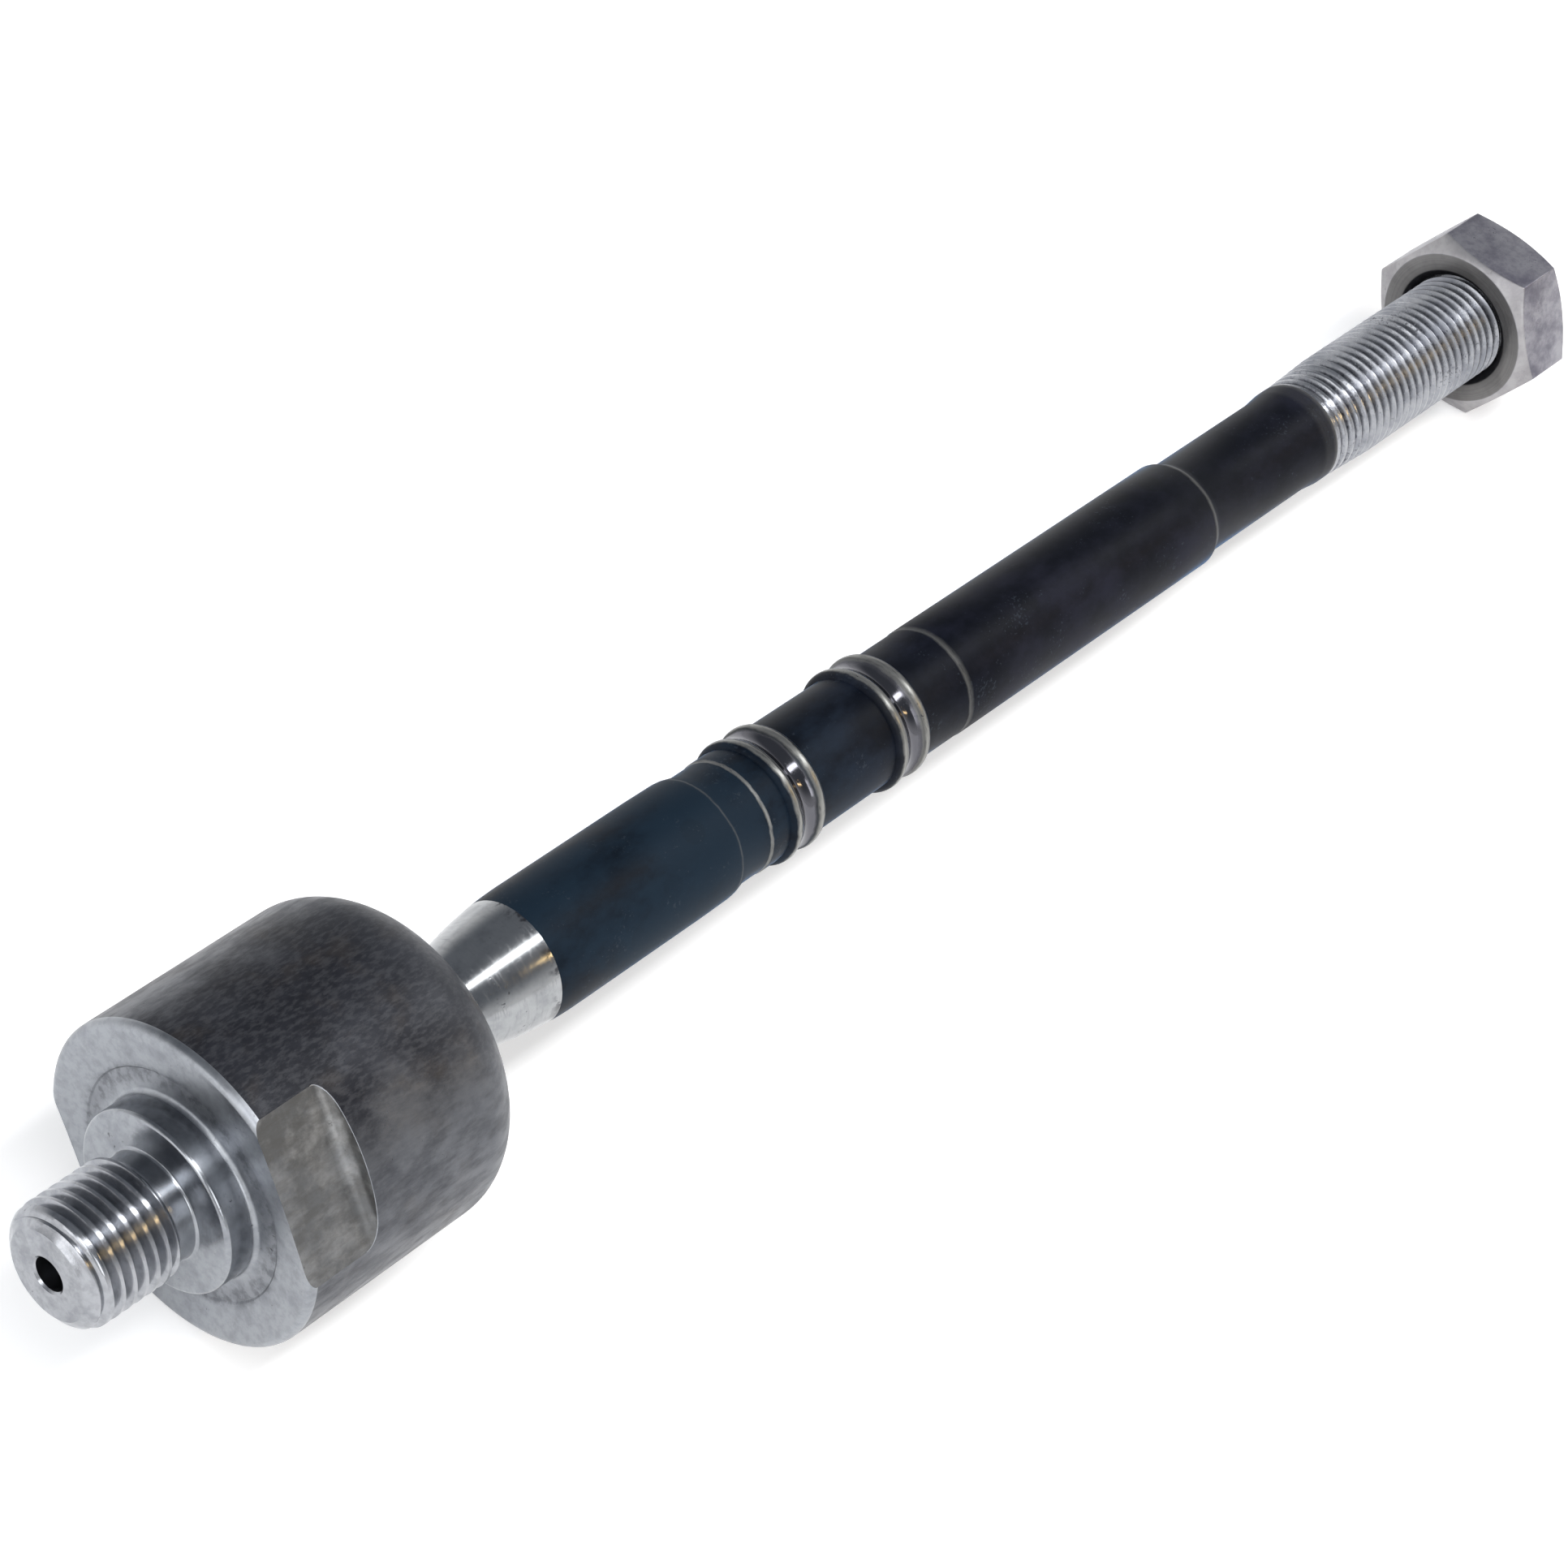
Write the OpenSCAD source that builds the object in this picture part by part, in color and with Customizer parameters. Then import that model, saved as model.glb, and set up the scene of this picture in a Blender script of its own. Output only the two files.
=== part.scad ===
// Inner tie rod of a rack-and-pinion steering gear, in millimetres.
// The axis lies along X. X = 0 is the face of the collar that seats on the end of the rack,
// the threaded stud points to -X and the lock nut sits near the +X end.
// Round outlines are [x, radius] points, turned about the X axis.

/* [Stud and collar] */
// Nominal diameter of the stud's thread
stud_d = 14; // [12:0.5:16]
// Length of the stud, from the collar face to its tip
stud_l = 13.9; // [12:0.1:24]
// Diameter of the centre hole in the stud
centre_hole_d = 4.3; // [3:0.1:6]
// Depth of the centre hole, to the start of the drill's cone
centre_hole_depth = 8; // [4:0.5:10]
// Width of the chamfer at the mouth of the centre hole
centre_chamfer_w = 0.25; // [0.1:0.05:0.8]
// Width of the thread relief next to the collar
relief_w = 2.3; // [1.5:0.1:3.5]
// Depth of the thread relief below the thread's nominal radius
relief_depth = 0.9; // [0.7:0.05:1.2]
// Diameter of the collar
collar_d = 20.8; // [18:0.1:24]
// Height of the collar in front of the housing
collar_w = 3.7; // [2:0.1:6]

/* [Housing] */
// Wall of the housing around the socket
housing_wall = 3.5; // [3:0.1:6]
// Thickness of the front, from the front face to the floor of the socket
front_wall = 7.3; // [5:0.1:12]
// Half angle of the mouth, seen from the ball's centre
mouth_angle = 50; // [46:1:54]
// Axial length of the rolled shoulder
shoulder_w = 8.8; // [7:0.1:10]
// Diameter of the shallow turned land on the front face
land_d = 26.6; // [24:0.1:32]
// Height of that land
land_h = 0.2; // [0.1:0.05:0.4]
// Radius of the front edge
front_edge_r = 0.8; // [0.3:0.1:1.5]
// Size across the two wrench flats
flat_af = 32; // [30:0.5:35]
// Length of the wrench flats, with their rounded end
flat_l = 9.2; // [7:0.1:12]
// Radius of the rounded end of each flat
flat_end_r = 2.6; // [1:0.1:4]
// Turn of the wrench flats about the axis, from +Y towards +Z
flat_turn = 142; // [0:1:180]

/* [Ball joint] */
// Diameter of the ball
ball_d = 26; // [24:0.5:28]
// Wall of the plastic seat around the ball
seat_wall = 1.9; // [1.5:0.1:2.5]
// Radial clearance of the ball in the seat, and of the seat in the housing
running_gap = 0.05; // [0.02:0.01:0.09]
// Number of slits that let the seat snap over the ball
slit_count = 6; // [3:1:8]
// Width of each slit
slit_w = 1.6; // [1:0.1:2.5]

/* [Rod diameters] */
// Diameter of the neck behind the ball
neck_d = 10.4; // [9:0.1:11]
// Diameter of the thick barrel next to the neck
barrel_d = 15.06; // [14.5:0.02:17]
// Diameter of the boot seat between the barrel and the ribs
boot_seat_d = 13.9; // [13:0.1:14.4]
// Diameter of the long shank
shank_d = 13.96; // [13.4:0.02:16]
// Diameter of the waist before the outer thread
waist_d = 12.6; // [11.5:0.1:13.2]
// Nominal diameter of the outer thread
rod_thread_d = 14; // [13.5:0.1:16]
// Diameter over the boot ribs
rib_d = 15.4; // [15:0.1:17]
// Radius of each rib's crest
rib_r = 1.05; // [0.8:0.05:1.3]
// Distance between the two ribs of a pair
rib_pitch = 3.8; // [3:0.1:5]

/* [Rod lengths] */
// From the ball's centre to the end of the curved neck
neck_l = 29; // [27:0.5:35]
// Length of the barrel
barrel_l = 25; // [15:0.5:40]
// From the end of the barrel to the full shank
boot_l = 40.5; // [38:0.5:50]
// From the end of the barrel to the middle of the first pair of ribs
first_rib_x = 11.2; // [9:0.1:13]
// From the middle of the first pair of ribs to the middle of the second
rib_pair_step = 18.45; // [14:0.05:19]
// Length of the full shank
shank_l = 47.9; // [30:0.1:80]
// Length of the waist
waist_l = 21.9; // [12:0.1:30]
// Length of the plain lead between the waist and the thread
lead_l = 4.3; // [3:0.1:6]
// Length of the outer thread
thread_l = 46.5; // [46:0.5:60]

/* [Lock nut] */
// Size across the flats of the lock nut
nut_af = 22; // [21:0.5:24]
// Thickness of the lock nut
nut_h = 10; // [7:0.5:12]
// Distance from the nut's outer face to the tip of the rod
nut_setback = 0.8; // [0:0.1:10]
// Radial clearance between the nut's bore and the thread
nut_gap = 0.03; // [0.02:0.01:0.08]

/* [Hidden] */
$fn = 96;
overlap = 1;

stud_r = stud_d / 2;
collar_r = collar_d / 2;
ball_r = ball_d / 2;
seat_in_r = ball_r + running_gap;
seat_out_r = seat_in_r + seat_wall;
socket_r = seat_out_r + running_gap;
housing_r = socket_r + housing_wall;
front_x = collar_w;
ball_x = front_x + front_wall + socket_r;

// Points of an arc about the [x, radius] centre c, from angle a0 to a1
function arc(c, r, a0, a1, steps = 8) =
    [for (i = [0:steps]) let (a = a0 + (a1 - a0) * i / steps) c + r * [cos(a), sin(a)]];

// Turns an outline of [x, radius] points about the X axis
module turned(points) {
    rotate([0, 90, 0])
        rotate_extrude()
            polygon([for (p = points) [p[1], p[0]]]);
}

// A straight round bar or hole along the X axis
module bar(x0, x1, r) {
    translate([x0, 0, 0]) rotate([0, 90, 0]) cylinder(h = x1 - x0, r = r);
}

// Stud with a rounded tip and a thread relief, and the collar that seats on the rack
tip_face_r = stud_r - 1.8;
tip_w = 2.4;
tip_round = 2.2;
root_fillet = 0.4;
collar_edge = 0.5;
collar_fillet = 0.6;
relief_r = stud_r - relief_depth;
stud_outline = concat(
    [[-stud_l, 0], [-stud_l, tip_face_r]],
    arc([-stud_l + tip_w, stud_r - tip_round], tip_round, 155, 90),
    [[-relief_w - relief_depth, stud_r], [-relief_w, relief_r]],
    arc([-root_fillet, relief_r + root_fillet], root_fillet, 270, 360),
    arc([collar_edge, collar_r - collar_edge], collar_edge, 180, 90),
    arc([front_x - collar_fillet, collar_r + collar_fillet], collar_fillet, 270, 360)
);

// The mouth, cut where the socket's sphere reaches the mouth angle, and its rolled rim
mouth_x = ball_x + socket_r * cos(mouth_angle);
mouth_r = socket_r * sin(mouth_angle);
rim_w = 0.35;
rim_r = mouth_r + 0.95;
rim_x = mouth_x + rim_w;

// The rolled shoulder is part of an ellipse that ends at the rim
shoulder_sweep = 60;
shoulder_depth = (housing_r - rim_r) / (1 - cos(shoulder_sweep));
shoulder_x = rim_x - shoulder_w * sin(shoulder_sweep);
shoulder_steps = 14;
shoulder_points = [
    for (i = [0:shoulder_steps])
        let (a = shoulder_sweep * i / shoulder_steps)
        [shoulder_x + shoulder_w * sin(a), housing_r - shoulder_depth * (1 - cos(a))]
];

// The socket is turned with the outside: a short straight throat, a flare at the rim and a ball-shaped bore
throat_w = 0.15;
mouth_flare = 0.28;
socket_steps = 26;
land_r = land_d / 2;
land_x = front_x + land_h;
housing_outline = concat(
    stud_outline,
    [[front_x, land_r], [land_x, land_r + land_h]],
    arc([land_x + front_edge_r, housing_r - front_edge_r], front_edge_r, 180, 90),
    shoulder_points,
    [[rim_x, mouth_r + mouth_flare], [mouth_x + throat_w, mouth_r]],
    arc([ball_x, 0], socket_r, mouth_angle, 180, socket_steps)
);

// One milled wrench flat with a rounded end, cut from outside at the given turn
module wrench_flat(turn) {
    flat_r = flat_af / 2;
    flat_end_x = land_x + flat_l;
    rotate([turn, 0, 0])
        translate([0, 0, -housing_r])
            linear_extrude(2 * housing_r) {
                translate([-overlap, flat_r])
                    square([flat_end_x - flat_end_r + overlap, housing_r]);
                translate([-overlap, flat_r + flat_end_r])
                    square([flat_end_x + overlap, housing_r]);
                translate([flat_end_x - flat_end_r, flat_r + flat_end_r])
                    circle(r = flat_end_r);
            }
}

// Centre hole with a chamfered mouth and the cone that a drill leaves at its bottom
drill_slope = 31;
module centre_hole() {
    hole_r = centre_hole_d / 2;
    hole_end_x = -stud_l + centre_hole_depth;
    turned([
        [-stud_l - overlap, 0],
        [-stud_l - overlap, hole_r + centre_chamfer_w + overlap],
        [-stud_l + centre_chamfer_w, hole_r],
        [hole_end_x, hole_r],
        [hole_end_x + hole_r * tan(drill_slope), 0]
    ]);
}

module housing() {
    color("dimgray")
    difference() {
        turned(housing_outline);
        centre_hole();
        wrench_flat(flat_turn);
        wrench_flat(flat_turn + 180);
    }
}

// One-piece plastic bearing shell, open at its pole for grease and slit so that it snaps over the ball
seat_edge_angle = mouth_angle + 6;
seat_end_x = ball_x + seat_out_r * cos(seat_edge_angle);
grease_hole_r = 4;
slit_start_x = ball_x - 4;
module ball_seat() {
    color("ivory")
    difference() {
        translate([ball_x, 0, 0]) sphere(r = seat_out_r);
        translate([ball_x, 0, 0]) sphere(r = seat_in_r);
        bar(seat_end_x, seat_end_x + seat_out_r, seat_out_r);
        bar(ball_x - socket_r - overlap, ball_x, grease_hole_r);
        for (i = [0:slit_count - 1])
            rotate([360 * i / slit_count, 0, 0])
                translate([slit_start_x, -slit_w / 2, 0])
                    cube([seat_end_x + overlap - slit_start_x, slit_w, seat_out_r + overlap]);
    }
}

// Stations along the rod
neck_end_x = ball_x + neck_l;
barrel_end_x = neck_end_x + barrel_l;
shank_x = barrel_end_x + boot_l;
shank_end_x = shank_x + shank_l;
waist_end_x = shank_end_x + waist_l;
thread_x = waist_end_x + lead_l;
rod_end_x = thread_x + thread_l;

// The neck grows into the barrel along one large arc, which starts where its radius is the neck's
neck_r = neck_d / 2;
barrel_r = barrel_d / 2;
neck_curve_r = 50;
neck_sweep = acos(1 - (barrel_r - neck_r) / neck_curve_r);
neck_start_x = ball_x + sqrt(ball_r * ball_r - neck_r * neck_r) - overlap;

boot_seat_r = boot_seat_d / 2;
shank_r = shank_d / 2;
waist_r = waist_d / 2;
thread_r = rod_thread_d / 2;
barrel_slope_w = 1.6;
boot_step = 0.13;
boot_step_x = barrel_end_x + 5.2;
after_ribs_r = shank_r - 0.09;
lead_r = waist_r + 0.3;
thread_root_r = thread_r - 0.4;
tip_chamfer = 1.1;

rod_outline = concat(
    [[neck_start_x, 0], [neck_start_x, neck_r]],
    arc([neck_end_x, barrel_r - neck_curve_r], neck_curve_r, 90 + neck_sweep, 90, 12),
    [
        [barrel_end_x - 0.8, barrel_r - 0.06],
        [barrel_end_x, barrel_r - 0.15],
        [barrel_end_x + barrel_slope_w, boot_seat_r],
        [boot_step_x, boot_seat_r],
        [boot_step_x + 0.2, boot_seat_r + boot_step],
        [barrel_end_x + first_rib_x, boot_seat_r + boot_step],
        [barrel_end_x + first_rib_x + rib_pitch, after_ribs_r],
        [barrel_end_x + first_rib_x + rib_pair_step, shank_r + 0.04],
        [barrel_end_x + first_rib_x + rib_pair_step + rib_pitch, after_ribs_r],
        [shank_x - 0.1, after_ribs_r],
        [shank_x + 0.1, shank_r],
        [shank_end_x, shank_r],
        [shank_end_x + 0.3, shank_r - 0.15],
        [shank_end_x + 1.6, waist_r],
        [waist_end_x, waist_r],
        [waist_end_x + 2.7, lead_r],
        [thread_x, lead_r],
        [thread_x + 1, thread_root_r],
        [thread_x + 9, thread_r],
        [rod_end_x - tip_chamfer, thread_r],
        [rod_end_x, thread_r - tip_chamfer],
        [rod_end_x, 0]
    ]
);

// A pair of rounded ribs around the rod, that hold the end of the rubber boot
module rib_pair(x) {
    rotate([0, 90, 0])
        rotate_extrude()
            for (side = [-1, 1])
                translate([rib_d / 2 - rib_r, x + side * rib_pitch / 2])
                    circle(r = rib_r, $fn = 48);
}

module tie_rod() {
    color([0.12, 0.14, 0.2]) {
        translate([ball_x, 0, 0]) sphere(r = ball_r);
        turned(rod_outline);
        for (i = [0, 1])
            rib_pair(barrel_end_x + first_rib_x + i * rib_pair_step);
    }
}

// Hexagon nut with a flat below, chamfered corners on both faces and countersunk bore mouths
nut_x = rod_end_x - nut_setback - nut_h;
nut_corner_r = nut_af / 2 / cos(30);
nut_face_r = nut_af / 2 - 0.7;
nut_chamfer_h = (nut_corner_r - nut_face_r) * tan(30);
nut_bore_r = thread_r + nut_gap;
countersink_r = nut_bore_r + 0.6;
countersink_h = 0.7;
module lock_nut() {
    color("silver")
    difference() {
        intersection() {
            translate([nut_x, 0, 0])
                rotate([0, 90, 0]) rotate([0, 0, 30])
                    cylinder(h = nut_h, r = nut_corner_r, $fn = 6);
            turned([
                [nut_x, 0],
                [nut_x, nut_face_r],
                [nut_x + nut_chamfer_h, nut_corner_r],
                [nut_x + nut_h - nut_chamfer_h, nut_corner_r],
                [nut_x + nut_h, nut_face_r],
                [nut_x + nut_h, 0]
            ]);
        }
        bar(nut_x - overlap, nut_x + nut_h + overlap, nut_bore_r);
        turned([
            [nut_x - overlap, 0],
            [nut_x - overlap, countersink_r],
            [nut_x, countersink_r],
            [nut_x + countersink_h, nut_bore_r],
            [nut_x + countersink_h, 0]
        ]);
        turned([
            [nut_x + nut_h - countersink_h, 0],
            [nut_x + nut_h - countersink_h, nut_bore_r],
            [nut_x + nut_h, countersink_r],
            [nut_x + nut_h + overlap, countersink_r],
            [nut_x + nut_h + overlap, 0]
        ]);
    }
}

housing();
ball_seat();
tie_rod();
lock_nut();
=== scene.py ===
# %% [markdown]
# An inner tie rod joins a car's steering rack to its outer tie-rod end. Here it lies on a pale floor,
# rack stud towards the viewer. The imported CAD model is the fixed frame. Three of its four solids get a
# dressed twin, two of them with real threads, and the plastic seat keeps its own mesh.

# %% The frame
import math

import bmesh
import bpy
from mathutils import Matrix, Vector


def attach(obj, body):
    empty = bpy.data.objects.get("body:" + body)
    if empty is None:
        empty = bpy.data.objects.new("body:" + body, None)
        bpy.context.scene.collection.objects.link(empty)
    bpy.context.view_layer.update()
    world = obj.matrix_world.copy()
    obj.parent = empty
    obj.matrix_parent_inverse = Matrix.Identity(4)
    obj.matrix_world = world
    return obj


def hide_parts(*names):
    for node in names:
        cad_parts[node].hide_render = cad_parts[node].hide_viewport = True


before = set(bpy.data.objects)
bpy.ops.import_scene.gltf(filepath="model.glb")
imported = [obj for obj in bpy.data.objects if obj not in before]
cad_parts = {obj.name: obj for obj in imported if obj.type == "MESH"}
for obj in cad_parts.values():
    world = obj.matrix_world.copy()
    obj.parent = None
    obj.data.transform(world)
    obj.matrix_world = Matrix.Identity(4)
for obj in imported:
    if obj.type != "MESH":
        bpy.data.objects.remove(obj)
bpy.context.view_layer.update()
mm = 0.001

# %% [markdown]
# The camera stands at the stud's end, above and in front. Its place and its long lens were fitted to the
# outline of the part. The picture is also rolled, so that the nut can rest on one of its flats as it does
# on a floor.

# %% Camera
camera_data = bpy.data.cameras.new("camera")
camera_data.sensor_width = 36
camera_data.lens = 101.4
camera = bpy.data.objects.new("camera", camera_data)
bpy.context.scene.collection.objects.link(camera)
camera_place = Vector((-0.21315, -0.16171, 0.34681))
camera_right = Vector((0.64532, -0.72700, 0.23455))
camera_up = Vector((0.43594, 0.60260, 0.66843))
look = camera_up.cross(camera_right) + 0.00051 * camera_right - 0.00097 * camera_up
look.normalize()
side = look.cross(camera_up).normalized()
top = side.cross(look)
camera.matrix_world = Matrix.Translation(camera_place) @ Matrix((side, top, -look)).transposed().to_4x4()
bpy.context.scene.camera = camera
print("The camera looks along", [round(v, 4) for v in look])

# %% [markdown]
# A node tree is easier to read when each node is made and wired on one line. A capital letter starts the
# name of a socket and a small letter starts the name of a setting.

# %% Node helpers
def add(tree, kind, **values):
    node = tree.nodes.new(kind)
    for key, value in values.items():
        if key[0].isupper():
            node.inputs[key.replace("_", " ")].default_value = value
        else:
            setattr(node, key, value)
    return node


def wire(tree, source, output, target, socket):
    tree.links.new(source.outputs[output], target.inputs[socket])


def maths(tree, operation, first, second=0.0):
    node = add(tree, "ShaderNodeMath", operation=operation)
    for index, value in enumerate((first, second)):
        if isinstance(value, (int, float)):
            node.inputs[index].default_value = value
        else:
            tree.links.new(value, node.inputs[index])
    return node.outputs[0]


# %% [markdown]
# The world is a pale room: white at the level of the floor and darker overhead, like a studio with a dim
# ceiling. The camera and the shiny surfaces see the same room. Steel that faces up reflects the dim
# ceiling, and steel that faces sideways or down reflects the white, which gives turned metal its dark and
# bright bands.

# %% World
world = bpy.data.worlds.new("pale room")
world.use_nodes = True
bpy.context.scene.world = world
world_tree = world.node_tree
direction = add(world_tree, "ShaderNodeTexCoord")
height = add(world_tree, "ShaderNodeSeparateXYZ")
wire(world_tree, direction, "Generated", height, "Vector")
ceiling = add(world_tree, "ShaderNodeMapRange", interpolation_type="SMOOTHSTEP", From_Max=0.55)
wire(world_tree, height, "Z", ceiling, "Value")
room = add(world_tree, "ShaderNodeMix", data_type="RGBA")
room.inputs[6].default_value = (1, 1, 1, 1)
room.inputs[7].default_value = (0.21, 0.225, 0.25, 1)
wire(world_tree, ceiling, "Result", room, "Factor")
world_tree.links.new(room.outputs[2], world_tree.nodes["Background"].inputs["Color"])
bpy.context.scene.view_settings.view_transform = "Standard"
print("World made")

# %% [markdown]
# The housing is wider than the nut, so the part lies with its axis 2 degrees off the level. The CAD frame
# doesn't move, so the floor is tilted instead. It touches the housing and a flat of the nut. Its paper
# glows a little for the camera and for shiny surfaces, so that it looks white and still shows the part's
# shadow.

# %% Floor
housing_r = 18.5
nut_flat = 11.0
touch_x = 27.0
nut_x = 230.3
nut_h = 10.0
floor_gap = 0.02
floor_slope = math.atan2(housing_r - nut_flat, nut_x + nut_h - touch_x)
floor_mesh = bpy.data.meshes.new("floor")
floor_bm = bmesh.new()
bmesh.ops.create_grid(floor_bm, x_segments=1, y_segments=1, size=3)
bmesh.ops.rotate(floor_bm, verts=floor_bm.verts, matrix=Matrix.Rotation(-floor_slope, 3, "Y"))
bmesh.ops.translate(floor_bm, verts=floor_bm.verts, vec=(touch_x * mm, 0, -(housing_r + floor_gap) * mm))
floor_bm.to_mesh(floor_mesh)
floor_bm.free()
floor = bpy.data.objects.new("floor", floor_mesh)
bpy.context.scene.collection.objects.link(floor)


def seen_directly(tree):
    path = add(tree, "ShaderNodeLightPath")
    shiny = maths(tree, "MAXIMUM", path.outputs["Is Glossy Ray"], path.outputs["Is Transmission Ray"])
    return maths(tree, "MAXIMUM", path.outputs["Is Camera Ray"], shiny)


floor_paper = bpy.data.materials.new("floor paper")
floor_paper.use_nodes = True
paper_tree = floor_paper.node_tree
paper = paper_tree.nodes["Principled BSDF"]
paper.inputs["Base Color"].default_value = (0.86, 0.86, 0.86, 1)
paper.inputs["Roughness"].default_value = 0.9
paper.inputs["Specular IOR Level"].default_value = 0.1
paper.inputs["Emission Color"].default_value = (1, 1, 1, 1)
glow = add(paper_tree, "ShaderNodeMapRange", To_Min=0.0, To_Max=0.42)
paper_tree.links.new(seen_directly(paper_tree), glow.inputs["Value"])
wire(paper_tree, glow, "Result", paper, "Emission Strength")
floor_mesh.materials.append(floor_paper)
print("Floor slope in degrees:", round(math.degrees(floor_slope), 2))

# %% [markdown]
# Softboxes are area lamps that face the part, with their width along it. A long, narrow one overhead is
# the main light: it draws one bright line along every turned surface, and a second one nearer the camera
# carries that line on over the rounded edges. A broad softbox stands in front on the right, a low one
# shines along the part from the stud's end, and a small warm lamp adds a golden line beside the white
# one.

# %% Lamps
lamp_aim = Vector((0.09, 0, 0))


def softbox(name, direction, distance, width, height, power, colour=(1, 1, 1)):
    data = bpy.data.lights.new(name, "AREA")
    data.shape = "RECTANGLE"
    data.size = width
    data.size_y = height
    data.energy = power
    data.color = colour
    lamp = bpy.data.objects.new(name, data)
    bpy.context.scene.collection.objects.link(lamp)
    way = Vector(direction).normalized()
    place = lamp_aim + way * distance
    along = (Vector((1, 0, 0)) - way * way.x).normalized()
    turn = Matrix((along, way.cross(along), way)).transposed().to_4x4()
    lamp.matrix_world = Matrix.Translation(place) @ turn
    print("Lamp", name, [round(v, 3) for v in place])


softbox("front softbox", (-0.50, -0.80, 0.45), 1.0, 0.5, 0.5, 2.2)
softbox("overhead softbox", (0.21, -0.28, 0.90), 0.97, 1.7, 0.15, 7.4)
softbox("near softbox", (-0.75, -0.15, 0.62), 1.0, 0.6, 0.28, 2.4)
softbox("low softbox", (-0.97, 0.05, 0.25), 0.8, 0.25, 0.5, 0.7)
softbox("warm softbox", (0.57, -0.62, 0.53), 1.0, 0.5, 0.045, 0.8, (1.0, 0.70, 0.32))

# %% [markdown]
# Nearly everything here was made on a lathe, so its outline is drawn as a chain of x and radius points in
# millimetres and spun about the X axis. Rounded corners are short arcs in that outline.

# %% Turning helpers
def arc(centre, radius, start, end, steps=8):
    points = []
    for i in range(steps + 1):
        angle = math.radians(start + (end - start) * i / steps)
        points.append((centre[0] + radius * math.cos(angle), centre[1] + radius * math.sin(angle)))
    return points


def turned(outline, steps=192):
    bm = bmesh.new()
    chain = [bm.verts.new((x * mm, 0, radius * mm)) for x, radius in outline]
    for first, second in zip(chain, chain[1:]):
        bm.edges.new((first, second))
    whole = bm.verts[:] + bm.edges[:]
    bmesh.ops.spin(
        bm, geom=whole, cent=(0, 0, 0), axis=(1, 0, 0), angle=2 * math.pi, steps=steps, use_merge=True
    )
    bmesh.ops.remove_doubles(bm, verts=bm.verts, dist=1e-7)
    bmesh.ops.recalc_face_normals(bm, faces=bm.faces)
    return bm


def finished(bm, name, sharp_degrees=32):
    mesh = bpy.data.meshes.new(name)
    bm.to_mesh(mesh)
    bm.free()
    mesh.shade_smooth()
    mesh.set_sharp_from_angle(angle=math.radians(sharp_degrees))
    piece = bpy.data.objects.new(name, mesh)
    bpy.context.scene.collection.objects.link(piece)
    return piece


def carve(bm, tool, operation):
    work = finished(bm, "work")
    cutter = finished(tool, "cutter")
    modifier = work.modifiers.new("carve", "BOOLEAN")
    modifier.operation = operation
    modifier.solver = "EXACT"
    modifier.object = cutter
    bpy.context.view_layer.update()
    result = work.evaluated_get(bpy.context.evaluated_depsgraph_get())
    carved = bmesh.new()
    carved.from_mesh(result.to_mesh())
    bpy.data.objects.remove(work)
    bpy.data.objects.remove(cutter)
    bmesh.ops.remove_doubles(carved, verts=carved.verts, dist=1e-7)
    return carved


def radius_at(outline, x):
    for (x0, r0), (x1, r1) in zip(outline, outline[1:]):
        if x0 <= x <= x1:
            return r0 + (r1 - r0) * (x - x0) / max(x1 - x0, 1e-9)
    return outline[0][1] if x < outline[0][0] else outline[-1][1]


# %% [markdown]
# A screw thread is one pitch of its outline, spun once round while it moves one pitch along the axis.
# That turn is copied along the bar, and the turns are merged where they meet edge to edge. A spin over
# all the turns would give the same shape, but it is slow. Two cuts trim the ends, and the turned outline
# of the bar then limits how far each crest and root can reach, which makes the chamfer at the tip and the
# run-out at the shank.

# %% Thread helper
pitch = 1.5
thread_r = 7.0
thread_depth = 0.92
flank_w = 0.3125


def threaded(x_start, x_end, outline, lowest, crest_w=0.125, sections=96):
    bm = bmesh.new()
    root_r = thread_r - thread_depth
    first_x = x_start - 1.4 * pitch
    crest_start = 0.5 - crest_w / 2
    root_end = crest_start - flank_w
    half = [(0, root_r), (root_end, root_r), (crest_start, thread_r)]
    corners = half + [(1 - x, radius) for x, radius in reversed(half)]
    chain = [bm.verts.new(((first_x + x * pitch) * mm, 0, radius * mm)) for x, radius in corners]
    for first, second in zip(chain, chain[1:]):
        bm.edges.new((first, second))
    bmesh.ops.subdivide_edges(bm, edges=bm.edges, cuts=2)
    bmesh.ops.spin(
        bm, geom=bm.verts[:] + bm.edges[:], cent=(0, 0, 0), axis=(1, 0, 0),
        dvec=(pitch * mm / sections, 0, 0), angle=2 * math.pi, steps=sections
    )
    one_turn = bm.verts[:] + bm.edges[:] + bm.faces[:]
    turns = math.ceil((x_end - first_x) / pitch) + 1
    for turn in range(1, turns):
        copied = bmesh.ops.duplicate(bm, geom=one_turn)["geom"]
        verts = [item for item in copied if isinstance(item, bmesh.types.BMVert)]
        bmesh.ops.translate(bm, verts=verts, vec=(turn * pitch * mm, 0, 0))
    reach = max(vert.co.x for vert in bm.verts) / mm
    bmesh.ops.remove_doubles(bm, verts=bm.verts, dist=2e-6)
    for x, inner in ((x_start, True), (x_end, False)):
        bmesh.ops.bisect_plane(
            bm, geom=bm.verts[:] + bm.edges[:] + bm.faces[:], plane_co=(x * mm, 0, 0), plane_no=(1, 0, 0),
            clear_inner=inner, clear_outer=not inner
        )
    for vert in bm.verts:
        now = math.hypot(vert.co.y, vert.co.z)
        x = vert.co.x / mm
        wanted = max(min(now, radius_at(outline, x) * mm), radius_at(lowest, x) * mm)
        vert.co.y *= wanted / now
        vert.co.z *= wanted / now
    print("Thread of", turns, "turns spun to x", round(reach, 2), "with", len(bm.faces), "faces")
    return bm


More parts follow.
